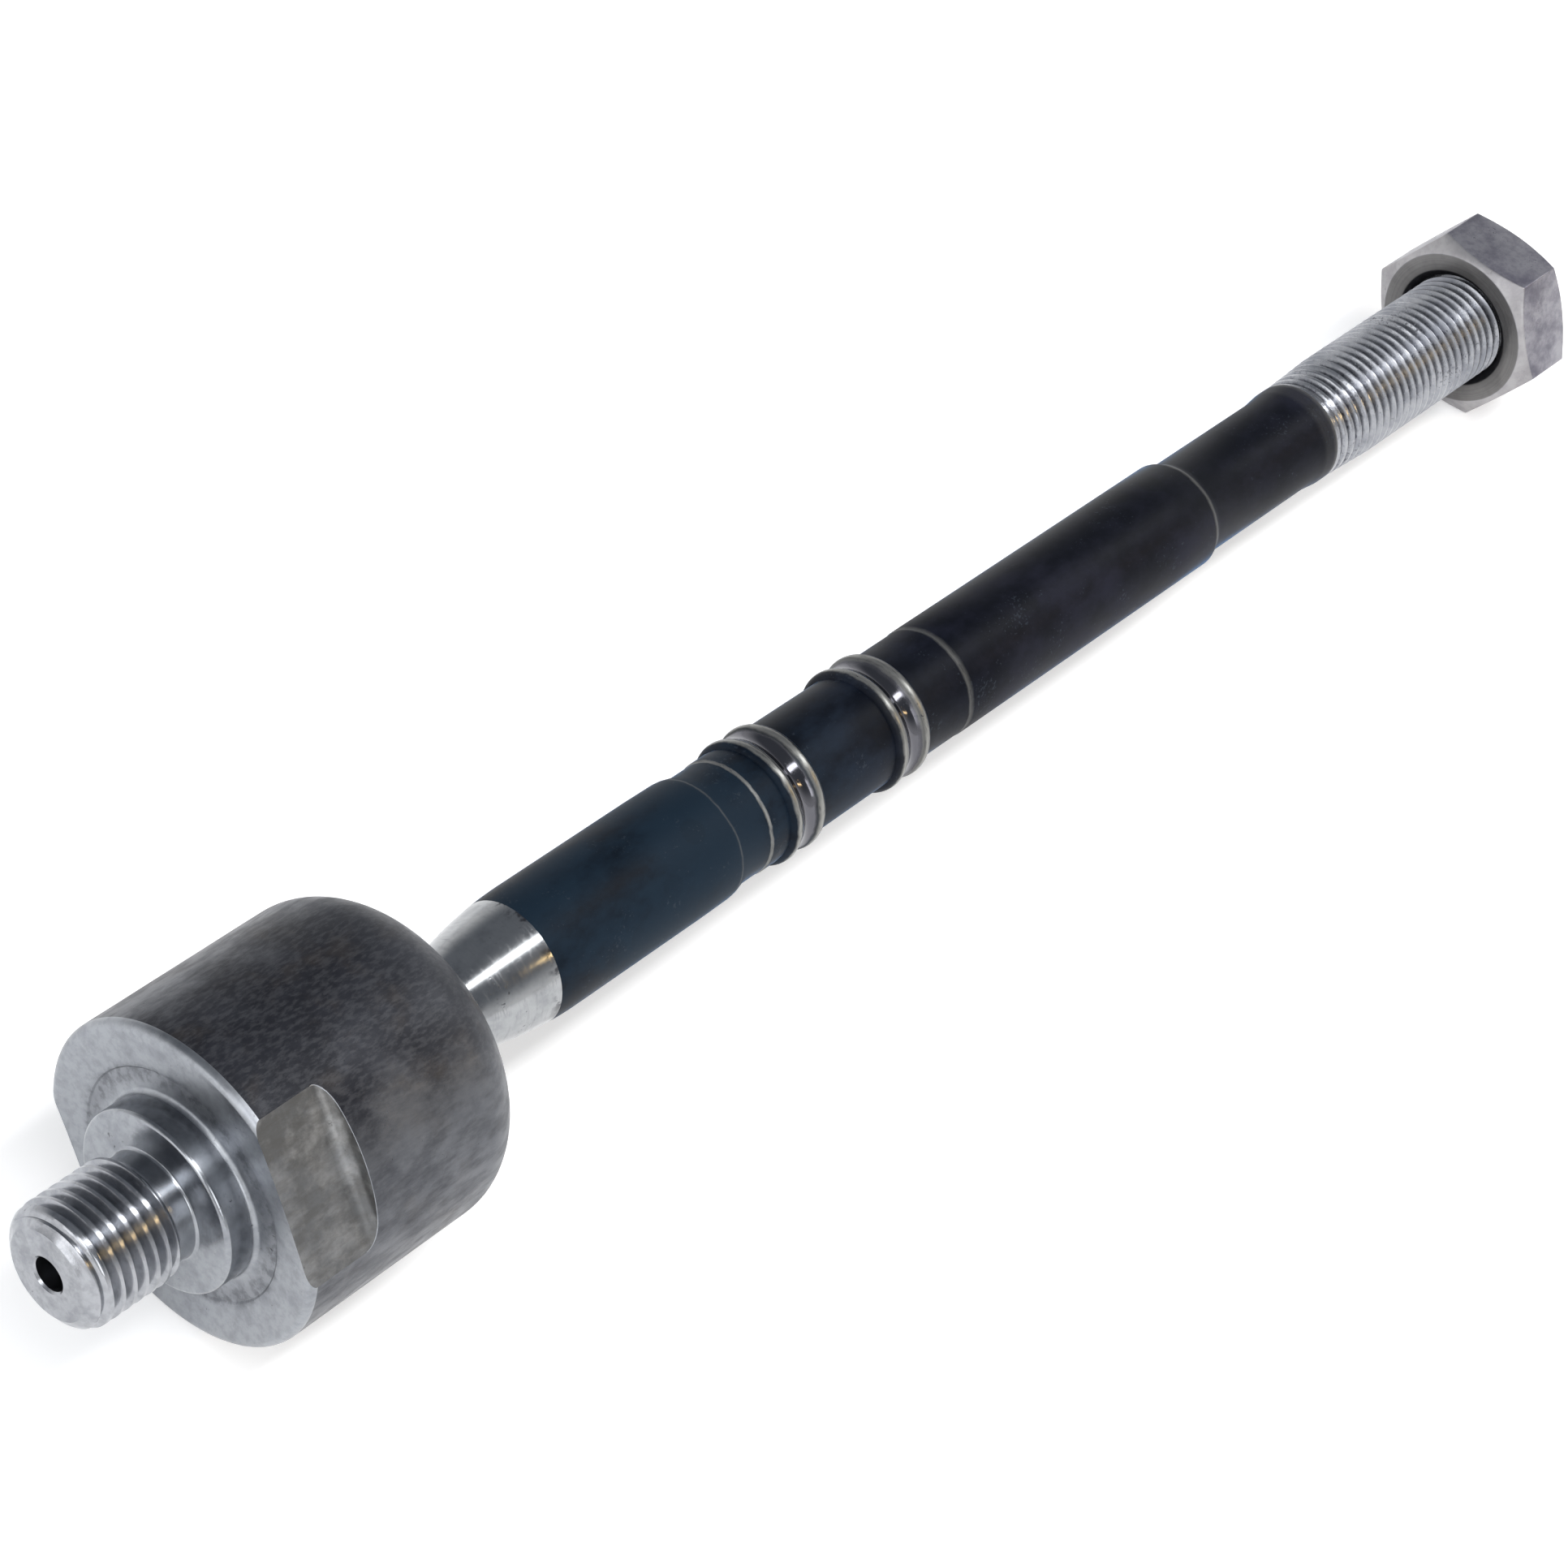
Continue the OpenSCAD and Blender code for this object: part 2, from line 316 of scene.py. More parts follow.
def end_loop(bm, x):
    return [edge for edge in bm.edges if edge.is_boundary and abs(edge.verts[0].co.x - x * mm) < 1e-5]


def push_in(bm, loop, scale, shift):
    made = bmesh.ops.extrude_edge_only(bm, edges=loop)["geom"]
    verts = [item for item in made if isinstance(item, bmesh.types.BMVert)]
    for vert in verts:
        vert.co.y *= scale
        vert.co.z *= scale
        vert.co.x += shift * mm
    return [item for item in made if isinstance(item, bmesh.types.BMEdge)]


def join(bm, other):
    spare = bpy.data.meshes.new("spare")
    other.to_mesh(spare)
    other.free()
    bm.from_mesh(spare)
    bpy.data.meshes.remove(spare)


# %% [markdown]
# The stud's thread ends in a rounded tip with a centre hole, which held the part in the lathe. The open
# end of the tube is pushed inwards in steps: across the tip's face, over the hole's small chamfer, down
# the hole and to a point.

# %% Stud
stud_l = 13.9
tip_face_r = 5.2
hole_edge_r = 2.2
hole_r = 1.95
relief_x = -2.3
relief_r = 6.1
tip_arc = arc((-stud_l + 2.4, 4.8), 2.2, 155, 90, 10)
stud_outline = [(-stud_l, tip_face_r)] + tip_arc + [(-3.2, thread_r), (relief_x, relief_r), (0, relief_r)]
stud_bm = threaded(-stud_l, -2.0, stud_outline, [(-stud_l, 0), (0, 0)], crest_w=0.25)
loop = push_in(stud_bm, end_loop(stud_bm, -stud_l), hole_edge_r / tip_face_r, 0)
loop = push_in(stud_bm, loop, hole_r / hole_edge_r, 0.25)
loop = push_in(stud_bm, loop, 1, 7.75)
push_in(stud_bm, loop, 0.05, 1.25)
bmesh.ops.holes_fill(stud_bm, edges=[edge for edge in stud_bm.edges if edge.is_boundary], sides=0)
bmesh.ops.recalc_face_normals(stud_bm, faces=stud_bm.faces)
print("Stud has", len(stud_bm.faces), "faces")

# %% [markdown]
# The housing is turned and its rim is rolled over the ball. Its outline runs from the thread relief over
# the collar, the front face and the shoulder, and back inside along the ball-shaped socket.

# %% Housing
ball_x = 26.0
socket_r = 15.0
mouth_angle = 50
mouth_x = ball_x + socket_r * math.cos(math.radians(mouth_angle))
mouth_r = socket_r * math.sin(math.radians(mouth_angle))
rim_x = mouth_x + 0.35
rim_r = mouth_r + 0.95
shoulder_w = 8.8
shoulder_sweep = math.radians(60)
shoulder_depth = (housing_r - rim_r) / (1 - math.cos(shoulder_sweep))
shoulder_x = rim_x - shoulder_w * math.sin(shoulder_sweep)
shoulder_steps = 18
shoulder = []
for i in range(shoulder_steps + 1):
    angle = shoulder_sweep * i / shoulder_steps
    drop = shoulder_depth * (1 - math.cos(angle))
    shoulder.append((shoulder_x + shoulder_w * math.sin(angle), housing_r - drop))
housing_outline = (
    [(relief_x, 0), (relief_x, relief_r)]
    + arc((-0.4, 6.5), 0.4, 270, 360, 6)
    + arc((0.5, 9.9), 0.5, 180, 90, 8)
    + arc((3.1, 11.0), 0.6, 270, 360, 8)
    + [(3.7, 13.2), (3.55, 13.4)]
    + arc((4.1, 17.6), 0.9, 180, 90, 10)
    + shoulder
    + [(rim_x, mouth_r + 0.28), (mouth_x + 0.15, mouth_r)]
    + arc((ball_x, 0), socket_r, mouth_angle, 180, 32)
)
housing_bm = turned(housing_outline)
print("Housing turned:", len(housing_bm.faces), "faces")

# %% [markdown]
# Two wrench flats are milled into the front of the housing. Each cutter is a block whose inner rear edge
# is bevelled to the radius that the mill left at the end of its cut.

# %% Wrench flats
flat_turn = 142
flat_h = 16.0
flat_end_x = 12.3
mill_corner = 1.5
mill_l = 14.1
mill_h = 5
for turn in (flat_turn, flat_turn + 180):
    mill = bmesh.new()
    bmesh.ops.create_cube(mill, size=1)
    bmesh.ops.scale(mill, verts=mill.verts, vec=(mill_l * mm, mill_h * mm, 40 * mm))
    mill_middle = ((flat_end_x - mill_l / 2) * mm, (flat_h + mill_h / 2) * mm, 0)
    bmesh.ops.translate(mill, verts=mill.verts, vec=mill_middle)
    rear_x = (flat_end_x - 0.1) * mm
    inner_y = (flat_h + 1) * mm
    rear_edge = [e for e in mill.edges if all(v.co.x > rear_x and v.co.y < inner_y for v in e.verts)]
    bmesh.ops.bevel(
        mill, geom=rear_edge, offset=mill_corner * mm, segments=10, profile=0.5, affect="EDGES", material=-1
    )
    bmesh.ops.rotate(mill, verts=mill.verts, matrix=Matrix.Rotation(math.radians(turn), 3, "X"))
    bmesh.ops.recalc_face_normals(mill, faces=mill.faces)
    housing_bm = carve(housing_bm, mill, "DIFFERENCE")
join(housing_bm, stud_bm)
print("Housing with flats cut and the stud joined:", len(housing_bm.faces), "faces")

# %% [markdown]
# Each face of the housing gets one of three finishes: bright machined steel in front, milled steel on the
# flats and on the wall behind them, and the dark skin of the side. A face belongs to a flat when it lies
# as high as the flat does and faces the way that the mill leaves it. The outer edge of the wall gets a
# narrow bevel of bright machined steel, which paints a highlight along that edge.

# %% Housing faces
bright, dark, cut = 0, 1, 2
front_edge_end = 4.15
front_end = 3.8
painted_highlight_start = 10.4
flat_way = Vector((0, math.cos(math.radians(flat_turn)), math.sin(math.radians(flat_turn))))
for face in housing_bm.faces:
    middle = face.calc_center_median()
    out = math.hypot(middle.y, middle.z) / mm
    behind = max(vert.co.x for vert in face.verts) / mm
    on_flat = False
    for way in (flat_way, -flat_way):
        height = min(vert.co.dot(way) for vert in face.verts) / mm
        lean = face.normal.dot(way)
        milled_face = lean > 0.999 or lean * face.normal.x < -0.001 or face.normal.x < -0.999
        if height > flat_h - 0.01 and milled_face:
            on_flat = True
    if on_flat and 5 < behind < flat_end_x + 0.01 and out < housing_r - 0.08:
        face.material_index = cut
    elif behind < front_edge_end and face.normal.x < -0.02 or behind < front_end:
        face.material_index = bright
    else:
        face.material_index = dark
# These edges get a narrow bevel of bright machined steel, a painted highlight along the edge.
painted_highlight_edges = []
for edge in housing_bm.edges:
    if len(edge.link_faces) == 2 and min(vert.co.x for vert in edge.verts) > painted_highlight_start * mm:
        if sorted(face.material_index for face in edge.link_faces) == [dark, cut]:
            painted_highlight_edges.append(edge)
bmesh.ops.bevel(
    housing_bm, geom=painted_highlight_edges, offset=0.28 * mm, segments=3, profile=0.5, affect="EDGES", material=bright,
    clamp_overlap=True
)
housing = finished(housing_bm, "housing_steel")
for polygon in housing.data.polygons:
    if polygon.material_index == cut and abs(polygon.normal.dot(flat_way)) > 0.9999:
        polygon.use_smooth = False
print("Bevels painted as highlights behind the flats:", len(painted_highlight_edges))
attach(housing, "housing")
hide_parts("housing")
print("Housing with flats and stud:", len(housing.data.polygons), "faces")

# %% [markdown]
# The rod is one turned piece too: the ball, the curved neck, the barrel, two pairs of ribs that hold the
# rubber boot, the shank, the waist and the thread. Each rib is the part of a small circle that stands
# proud of the bar, and a larger circle that touches both makes the hollow between two ribs.

# %% Rod
def ribs(x, bar_r, crest_r=7.7, radius=1.05, reach=1.9):
    centre_r = crest_r - radius
    rise = bar_r - centre_r
    hollow = (rise ** 2 + reach ** 2 - radius ** 2) / (2 * (radius - rise))
    dip = math.degrees(math.asin(rise / radius))
    tilt = math.degrees(math.asin((rise + hollow) / (radius + hollow)))
    points = arc((x - reach, centre_r), radius, 180 - dip, tilt, 12)
    points += arc((x, bar_r + hollow), hollow, 180 + tilt, 360 - tilt, 12)[1:-1]
    return points + arc((x + reach, centre_r), radius, 180 - tilt, dip, 12)


ball_r = 13.0
neck_r = 5.2
barrel_r = 7.53
neck_end = 55.0
neck_curve_r = 50
thread_x = 194.6
lead_r = 6.6
neck_sweep = math.degrees(math.acos(1 - (barrel_r - neck_r) / neck_curve_r))
coat_start = 50.95
coat_sweep = math.degrees(math.asin((neck_end - coat_start) / neck_curve_r))
rod_outline = (
    arc((ball_x, 0), ball_r, 180, math.degrees(math.asin(neck_r / ball_r)), 40)
    + arc((neck_end, barrel_r - neck_curve_r), neck_curve_r, 90 + neck_sweep, 90 + coat_sweep, 12)
    + arc((neck_end, barrel_r - neck_curve_r), neck_curve_r, 90 + coat_sweep, 90, 6)[1:]
    + [(60, barrel_r), (65, barrel_r), (70, barrel_r), (75, barrel_r)]
    + [(79.2, 7.47), (80.0, 7.38), (81.6, 6.95), (85.2, 6.95), (85.4, 7.08), (87.6, 7.08)]
    + ribs(91.2, 6.99)
    + ribs(109.65, 6.94)
    + [(114.5, 6.89), (120.4, 6.89), (120.6, 6.98)]
    + [(130, 6.98), (140, 6.98), (150, 6.98), (160, 6.98)]
    + [(168.4, 6.98), (168.7, 6.83), (170.0, 6.3), (180, 6.3), (190.3, 6.3)]
    + [(193.0, lead_r), (thread_x, lead_r), (thread_x, 0)]
)
rod_bm = turned(rod_outline)
rod_end = 241.1
thread_outline = [(thread_x, lead_r), (195.6, lead_r), (203.6, thread_r)]
thread_outline += [(rod_end - 1.1, thread_r), (rod_end, 5.9)]
thread_floor = [(thread_x, lead_r), (197.2, 6.08), (rod_end, 0)]
rod_thread = threaded(thread_x, rod_end, thread_outline, thread_floor, sections=84)
push_in(rod_thread, end_loop(rod_thread, rod_end), 0.9, 0)
bmesh.ops.holes_fill(rod_thread, edges=[edge for edge in rod_thread.edges if edge.is_boundary], sides=0)
bmesh.ops.recalc_face_normals(rod_thread, faces=rod_thread.faces)
thread_faces = len(rod_thread.faces)
thread, bare_neck = 1, 2
for face in rod_bm.faces:
    if max(vert.co.x for vert in face.verts) < (coat_start + 0.01) * mm:
        face.material_index = bare_neck
join(rod_bm, rod_thread)
rod_bm.faces.ensure_lookup_table()
for face in rod_bm.faces[-thread_faces:]:
    face.material_index = thread
rod = finished(rod_bm, "rod")
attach(rod, "tie_rod")
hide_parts("tie_rod")
print("Rod:", len(rod.data.polygons), "faces")

# %% [markdown]
# The lock nut starts as a six-sided cone with equal ends. It is kept only where it meets a turned blank
# with slanting shoulders, which gives the curved chamfers of a real nut, and the bore is turned out. A
# small bevel then breaks its edges.

# %% Lock nut
nut_corner = nut_flat / math.cos(math.radians(30))
nut_face_r = nut_flat - 0.7
nut_mouth_r = 8.0
bore_r = 7.03
far_mouth_r = 7.63
chamfer_slope = math.tan(math.radians(30))
nut_slant = (nut_corner - nut_face_r) * chamfer_slope
nut_bm = bmesh.new()
bmesh.ops.create_cone(
    nut_bm, cap_ends=True, segments=6, radius1=nut_corner * mm, radius2=nut_corner * mm, depth=nut_h * mm
)
bmesh.ops.rotate(nut_bm, verts=nut_bm.verts, matrix=Matrix.Rotation(math.radians(90), 3, "Y"))
corner_below = min(nut_bm.faces, key=lambda face: face.normal.z).normal.z > -0.99
if corner_below:
    bmesh.ops.rotate(nut_bm, verts=nut_bm.verts, matrix=Matrix.Rotation(math.radians(30), 3, "X"))
bmesh.ops.translate(nut_bm, verts=nut_bm.verts, vec=((nut_x + nut_h / 2) * mm, 0, 0))
blank = turned(
    [
        (nut_x, 0),
        (nut_x, nut_face_r),
        (nut_x + nut_slant * 1.1, nut_corner + 0.25),
        (nut_x + nut_h - nut_slant * 1.1, nut_corner + 0.25),
        (nut_x + nut_h, nut_face_r),
        (nut_x + nut_h, 0),
    ]
)
nut_bm = carve(nut_bm, blank, "INTERSECT")
bore = turned(
    [
        (nut_x - 1, 0),
        (nut_x - 1, nut_mouth_r),
        (nut_x, nut_mouth_r),
        (nut_x + 1.0, bore_r),
        (nut_x + nut_h - 0.7, bore_r),
        (nut_x + nut_h, far_mouth_r),
        (nut_x + nut_h + 1, far_mouth_r),
        (nut_x + nut_h + 1, 0),
    ]
)
nut_bm = carve(nut_bm, bore, "DIFFERENCE")
keen = [edge for edge in nut_bm.edges if len(edge.link_faces) == 2 and edge.calc_face_angle() > 0.35]
bmesh.ops.bevel(
    nut_bm, geom=keen, offset=0.12 * mm, segments=2, profile=0.5, affect="EDGES", material=-1,
    clamp_overlap=True
)
nut = finished(nut_bm, "nut")
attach(nut, "lock_nut")
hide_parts("lock_nut")
print("Nut:", len(nut.data.polygons), "faces")

# %% [markdown]
# Several finishes share the same effects, so these are node groups. The first spreads soft stains, which
# a stretch can draw out along the axis. The second scatters small dark pits. The third gives the fine
# rings that a lathe leaves on a face, or the bands that it leaves on a bar.

# %% Shared effects
def effect(name, inputs, output):
    group = bpy.data.node_groups.new(name, "ShaderNodeTree")
    for label, value in inputs.items():
        kind = "NodeSocketVector" if label == "Vector" else "NodeSocketFloat"
        socket = group.interface.new_socket(name=label, in_out="INPUT", socket_type=kind)
        if label != "Vector":
            socket.default_value = value
    group.interface.new_socket(name=output, in_out="OUTPUT", socket_type="NodeSocketFloat")
    return group, group.nodes.new("NodeGroupInput"), group.nodes.new("NodeGroupOutput")


stain_inputs = {"Vector": None, "Scale": 100, "Stretch": 1, "Low": 0.4, "High": 0.6}
stains, start, finish = effect("stains", stain_inputs, "Mask")
squeeze = add(stains, "ShaderNodeCombineXYZ", Y=1.0, Z=1.0)
wire(stains, start, "Stretch", squeeze, "X")
place = add(stains, "ShaderNodeVectorMath", operation="MULTIPLY")
wire(stains, start, "Vector", place, 0)
wire(stains, squeeze, "Vector", place, 1)
cloud = add(stains, "ShaderNodeTexNoise", Detail=8.0, Roughness=0.62)
wire(stains, place, "Vector", cloud, "Vector")
wire(stains, start, "Scale", cloud, "Scale")
level = add(stains, "ShaderNodeMapRange", interpolation_type="SMOOTHSTEP")
wire(stains, cloud, "Fac", level, "Value")
wire(stains, start, "Low", level, "From Min")
wire(stains, start, "High", level, "From Max")
wire(stains, level, "Result", finish, "Mask")

pits, start, finish = effect("pits", {"Vector": None, "Scale": 1500, "Amount": 0.3}, "Mask")
grains = add(pits, "ShaderNodeTexNoise", Detail=3.0, Roughness=0.6)
wire(pits, start, "Vector", grains, "Vector")
wire(pits, start, "Scale", grains, "Scale")
patches = add(pits, "ShaderNodeTexNoise", Scale=220.0, Detail=2.0)
wire(pits, start, "Vector", patches, "Vector")
patchy = maths(pits, "ADD", maths(pits, "MULTIPLY", patches.outputs["Fac"], 0.5), 0.25)
both = maths(pits, "MULTIPLY", grains.outputs["Fac"], patchy)
edge_of_pit = maths(pits, "SUBTRACT", 0.42, maths(pits, "MULTIPLY", start.outputs["Amount"], 0.2))
level = add(pits, "ShaderNodeMapRange", interpolation_type="SMOOTHSTEP")
pits.links.new(both, level.inputs["Value"])
pits.links.new(edge_of_pit, level.inputs["From Min"])
pits.links.new(maths(pits, "ADD", edge_of_pit, 0.05), level.inputs["From Max"])
wire(pits, level, "Result", finish, "Mask")

lathe, start, finish = effect("lathe marks", {"Vector": None, "Scale": 3000, "Along": 0}, "Height")
parts = add(lathe, "ShaderNodeSeparateXYZ")
wire(lathe, start, "Vector", parts, "Vector")
spread = add(lathe, "ShaderNodeCombineXYZ")
wire(lathe, parts, "Y", spread, "Y")
wire(lathe, parts, "Z", spread, "Z")
reach = add(lathe, "ShaderNodeVectorMath", operation="LENGTH")
wire(lathe, spread, "Vector", reach, 0)
choose = add(lathe, "ShaderNodeMix")
wire(lathe, start, "Along", choose, "Factor")
wire(lathe, reach, "Value", choose, "A")
wire(lathe, parts, "X", choose, "B")
rings = add(lathe, "ShaderNodeTexNoise", noise_dimensions="1D", Detail=4.0, Roughness=0.7)
wire(lathe, choose, "Result", rings, "W")
wire(lathe, start, "Scale", rings, "Scale")
wire(lathe, rings, "Fac", finish, "Height")
print("Effects:", [group.name for group in bpy.data.node_groups])

# %% [markdown]
# A finish starts from the plain shader and the object's own coordinates. The helpers below measure along
# the part and out from its axis, place an effect, and mix two colours by a mask.

# %% Finish helpers
class Finish:
    def __init__(self, name, roughness, metallic):
        self.material = bpy.data.materials.new(name)
        self.material.use_nodes = True
        self.tree = self.material.node_tree
        self.shader = self.tree.nodes["Principled BSDF"]
        self.shader.inputs["Roughness"].default_value = roughness
        self.shader.inputs["Metallic"].default_value = metallic
        self.where = add(self.tree, "ShaderNodeTexCoord").outputs["Object"]

    def along(self):
        parts = add(self.tree, "ShaderNodeSeparateXYZ")
        self.tree.links.new(self.where, parts.inputs[0])
        return parts.outputs["X"]

    def radius(self):
        parts = add(self.tree, "ShaderNodeSeparateXYZ")
        self.tree.links.new(self.where, parts.inputs[0])
        squares = [maths(self.tree, "MULTIPLY", parts.outputs[axis], parts.outputs[axis]) for axis in "YZ"]
        return maths(self.tree, "SQRT", maths(self.tree, "ADD", squares[0], squares[1]))

    def towards(self, turn, distance):
        parts = add(self.tree, "ShaderNodeSeparateXYZ")
        self.tree.links.new(self.where, parts.inputs[0])
        across = maths(self.tree, "MULTIPLY", parts.outputs["Y"], math.cos(turn) / distance)
        return maths(self.tree, "ADD", across, self.times(parts.outputs["Z"], math.sin(turn) / distance))

    def band(self, value, low, high):
        node = add(self.tree, "ShaderNodeMapRange", From_Min=low, From_Max=high)
        node.interpolation_type = "SMOOTHSTEP"
        self.tree.links.new(value, node.inputs["Value"])
        return node.outputs["Result"]

    def both(self, first, second):
        return maths(self.tree, "MULTIPLY", first, second)

    def effect(self, group, **values):
        node = self.tree.nodes.new("ShaderNodeGroup")
        node.node_tree = group
        for key, value in values.items():
            node.inputs[key].default_value = value
        self.tree.links.new(self.where, node.inputs["Vector"])
        return node.outputs[0]

    def times(self, mask, factor):
        return maths(self.tree, "MULTIPLY", mask, factor)

    def mix(self, mask, first, second):
        node = add(self.tree, "ShaderNodeMix", data_type="RGBA")
        self.tree.links.new(mask, node.inputs["Factor"])
        for socket, value in ((node.inputs[6], first), (node.inputs[7], second)):
            if isinstance(value, tuple):
                socket.default_value = value + (1,)
            else:
                self.tree.links.new(value, socket)
        return node.outputs[2]

    def span(self, mask, low, high):
        node = add(self.tree, "ShaderNodeMapRange", To_Min=low, To_Max=high)
        self.tree.links.new(mask, node.inputs["Value"])
        return node.outputs["Result"]

    def set(self, socket, source):
        self.tree.links.new(source, self.shader.inputs[socket])

    def bump(self, heights, depth):
        total = None
        for height, amount in heights:
            scaled = self.times(height, amount)
            total = scaled if total is None else maths(self.tree, "ADD", total, scaled)
        node = add(self.tree, "ShaderNodeBump", Strength=1.0, Distance=depth)
        self.tree.links.new(total, node.inputs["Height"])
        wire(self.tree, node, "Normal", self.shader, "Normal")

    def ramp(self, value, stops):
        node = add(self.tree, "ShaderNodeValToRGB")
        self.tree.links.new(value, node.inputs["Fac"])
        points = node.color_ramp.elements
        for index, (place, shade) in enumerate(stops):
            point = points[index] if index < 2 else points.new(place)
            point.position = place
            point.color = (shade, shade, shade, 1)
        return node.outputs["Color"]


# %% [markdown]
# The front of the housing, its collar and the stud are bright machined steel with fine rings from the
# lathe, a few grey stains and small pits. The flat front is duller than the rest, and a grimy ring runs
# round the collar.

# %% Machined steel
machined = Finish("machined steel", 0.2, 1.0)
blotch = machined.effect(stains, Scale=260, Stretch=1, Low=0.44, High=0.70)
mottle = machined.effect(stains, Scale=900, Stretch=1, Low=0.42, High=0.66)
rings = machined.effect(lathe, Scale=4200, Along=0)
spots = machined.effect(pits, Scale=2300, Amount=0.30)
out = machined.radius()
grimy_ring = machined.both(machined.band(out, 0.0108, 0.0124), machined.band(out, 0.0142, 0.0131))
on_face = machined.band(machined.along(), 0.0030, 0.0034)
off_stud = machined.band(machined.along(), -0.0026, -0.0018)
colour = machined.mix(off_stud, (0.385, 0.395, 0.42), (0.325, 0.34, 0.365))
colour = machined.mix(machined.times(blotch, 0.55), colour, (0.17, 0.18, 0.205))
colour = machined.mix(machined.times(mottle, 0.42), colour, (0.19, 0.20, 0.215))
smear = machined.both(machined.both(grimy_ring, on_face), machined.span(mottle, 0.35, 0.8))
colour = machined.mix(smear, colour, (0.11, 0.115, 0.13))
colour = machined.mix(machined.times(spots, 0.7), colour, (0.05, 0.05, 0.06))
machined.set("Base Color", colour)
duller = machined.times(on_face, 0.15)
machined.set("Roughness", maths(machined.tree, "ADD", machined.span(rings, 0.17, 0.27), duller))
machined.bump([(rings, 0.12), (spots, -0.5), (blotch, 0.15)], 0.00003)

# %% [markdown]
# The side of the housing kept its skin from the forge. It is mottled and grey, paler towards the rolled
# rim, with a brownish cast in places. Its upper side is painted nearly black and dull as shade, and there
# the finish is less of a metal.

# %% Dark side
forged = Finish("dark forged steel", 0.42, 0.8)
forged.shader.inputs["Specular IOR Level"].default_value = 0.16
cloud = forged.effect(stains, Scale=105, Stretch=0.9, Low=0.38, High=0.64)
fine = forged.effect(stains, Scale=560, Stretch=0.4, Low=0.38, High=0.64)
grain = forged.effect(stains, Scale=2100, Stretch=0.4, Low=0.42, High=0.64)
brown = forged.effect(stains, Scale=170, Stretch=0.9, Low=0.50, High=0.68)
spots = forged.effect(pits, Scale=3200, Amount=0.24)
# The upper side, about 93 degrees round the axis, is painted nearly black as shade and made less metallic.
top_shade_turn = math.radians(93)
level_up = forged.towards(top_shade_turn, housing_r * mm)
ragged = maths(forged.tree, "ADD", level_up, forged.times(cloud, -0.10))
shaded_top = forged.band(ragged, 0.62, 0.86)
far = forged.band(forged.along(), 0.0225, 0.0355)
plain = forged.mix(cloud, (0.090, 0.094, 0.106), (0.150, 0.156, 0.170))
# Painted shade: the nearly black colour of the upper side.
shaded_top_colour = forged.mix(cloud, (0.014, 0.015, 0.020), (0.030, 0.032, 0.040))
colour = forged.mix(shaded_top, plain, shaded_top_colour)
colour = forged.mix(forged.times(fine, 0.32), colour, (0.016, 0.017, 0.023))
colour = forged.mix(forged.times(grain, 0.12), colour, (0.22, 0.225, 0.24))
colour = forged.mix(forged.times(brown, 0.18), colour, (0.085, 0.068, 0.052))
colour = forged.mix(forged.times(far, 0.30), colour, (0.15, 0.16, 0.18))
colour = forged.mix(forged.times(spots, 0.5), colour, (0.010, 0.010, 0.012))
forged.set("Base Color", colour)
forged.set("Metallic", forged.span(shaded_top, 0.8, 0.2))
forged.set("Roughness", forged.span(fine, 0.38, 0.50))
forged.bump([(fine, 0.2), (grain, 0.10), (spots, -0.3)], 0.00004)

# %% [markdown]
# The milled flats are a little paler than the side, with cloudy patches and short streaks from the mill.

# %% Milled flats
milled = Finish("milled flat", 0.4, 0.7)
cloud = milled.effect(stains, Scale=230, Stretch=0.9, Low=0.40, High=0.68)
haze = milled.effect(stains, Scale=110, Stretch=1, Low=0.42, High=0.62)
streak = milled.effect(stains, Scale=1300, Stretch=0.3, Low=0.42, High=0.66)
spots = milled.effect(pits, Scale=2200, Amount=0.3)
colour = milled.mix(cloud, (0.112, 0.112, 0.111), (0.30, 0.30, 0.297))
colour = milled.mix(milled.times(haze, 0.5), colour, (0.165, 0.175, 0.19))
colour = milled.mix(milled.times(streak, 0.35), colour, (0.085, 0.080, 0.074))
colour = milled.mix(milled.times(spots, 0.5), colour, (0.03, 0.03, 0.03))
milled.set("Base Color", colour)
milled.set("Roughness", milled.span(cloud, 0.34, 0.46))
milled.bump([(streak, 0.2), (spots, -0.3)], 0.00003)
for finish_used in (machined, forged, milled):
    housing.data.materials.append(finish_used.material)
print("Housing finishes:", [slot.name for slot in housing.data.materials])

# %% [markdown]
# Drops of water dried on the paint and left round marks. Voronoi cells give them: every point close
# enough to the middle of a cell belongs to a mark.

# %% Dried drops
drops, start, finish = effect("dried drops", {"Vector": None, "Scale": 160, "Size": 0.25}, "Mask")
cells = add(drops, "ShaderNodeTexVoronoi", feature="F1", Randomness=1.0)
wire(drops, start, "Vector", cells, "Vector")
wire(drops, start, "Scale", cells, "Scale")
level = add(drops, "ShaderNodeMapRange", interpolation_type="SMOOTHSTEP")
wire(drops, cells, "Distance", level, "Value")
wire(drops, start, "Size", level, "From Min")
drops.links.new(maths(drops, "MULTIPLY", start.outputs["Size"], 0.86), level.inputs["From Max"])
wire(drops, level, "Result", finish, "Mask")

# %% [markdown]
# The ball and the neck are bare steel, brushed round the axis. Dark marks gather where the paint starts
# and where the neck leaves the housing.

